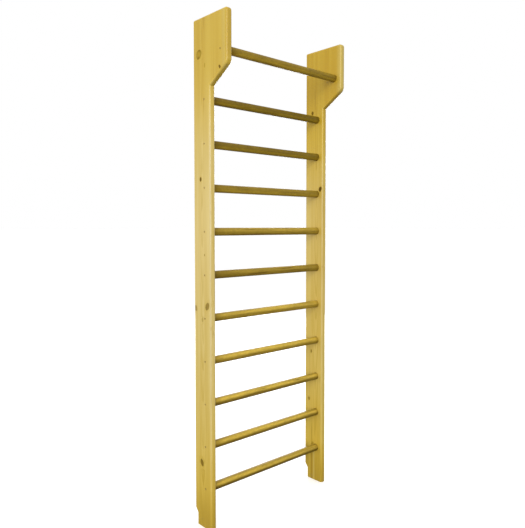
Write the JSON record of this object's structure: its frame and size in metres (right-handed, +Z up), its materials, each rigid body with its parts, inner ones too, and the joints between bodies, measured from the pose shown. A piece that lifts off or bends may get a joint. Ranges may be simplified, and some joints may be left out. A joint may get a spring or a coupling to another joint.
{
  "type": "swedish wall bars",
  "caption": "Wooden wall bars for gym exercise: upright side boards with forward heads, joined by round rungs, the top rung set forward; stands on the floor against a wall.",
  "frame": {"origin": "on the floor, under the middle of the frame's bounding box", "axes": "+Z up along the stiles, +Y towards the wall, +X along the rungs to the right as seen from the front"},
  "size_m": [0.8, 0.248, 2.4],
  "materials": {
    "stile_pine": "clear satin lacquer on knotty pine, grain along the board",
    "rung_wood": "clear satin lacquer, grain along the rung",
    "screw_steel": "yellow zinc plating, dull"
  },
  "bodies": {
    "root": {"left_stile": "stile_pine", "right_stile": "stile_pine", "rung_01": "rung_wood", "rung_02": "rung_wood", "rung_03": "rung_wood", "rung_04": "rung_wood", "rung_05": "rung_wood", "rung_06": "rung_wood", "rung_07": "rung_wood", "rung_08": "rung_wood", "rung_09": "rung_wood", "rung_10": "rung_wood", "rung_11": "rung_wood", "left_screw_01": "screw_steel", "left_screw_02": "screw_steel", "left_screw_03": "screw_steel", "left_screw_04": "screw_steel", "left_screw_05": "screw_steel", "left_screw_06": "screw_steel", "left_screw_07": "screw_steel", "left_screw_08": "screw_steel", "left_screw_09": "screw_steel", "left_screw_10": "screw_steel", "left_screw_11": "screw_steel", "right_screw_01": "screw_steel", "right_screw_02": "screw_steel", "right_screw_03": "screw_steel", "right_screw_04": "screw_steel", "right_screw_05": "screw_steel", "right_screw_06": "screw_steel", "right_screw_07": "screw_steel", "right_screw_08": "screw_steel", "right_screw_09": "screw_steel", "right_screw_10": "screw_steel", "right_screw_11": "screw_steel"}
  },
  "joints": []
}
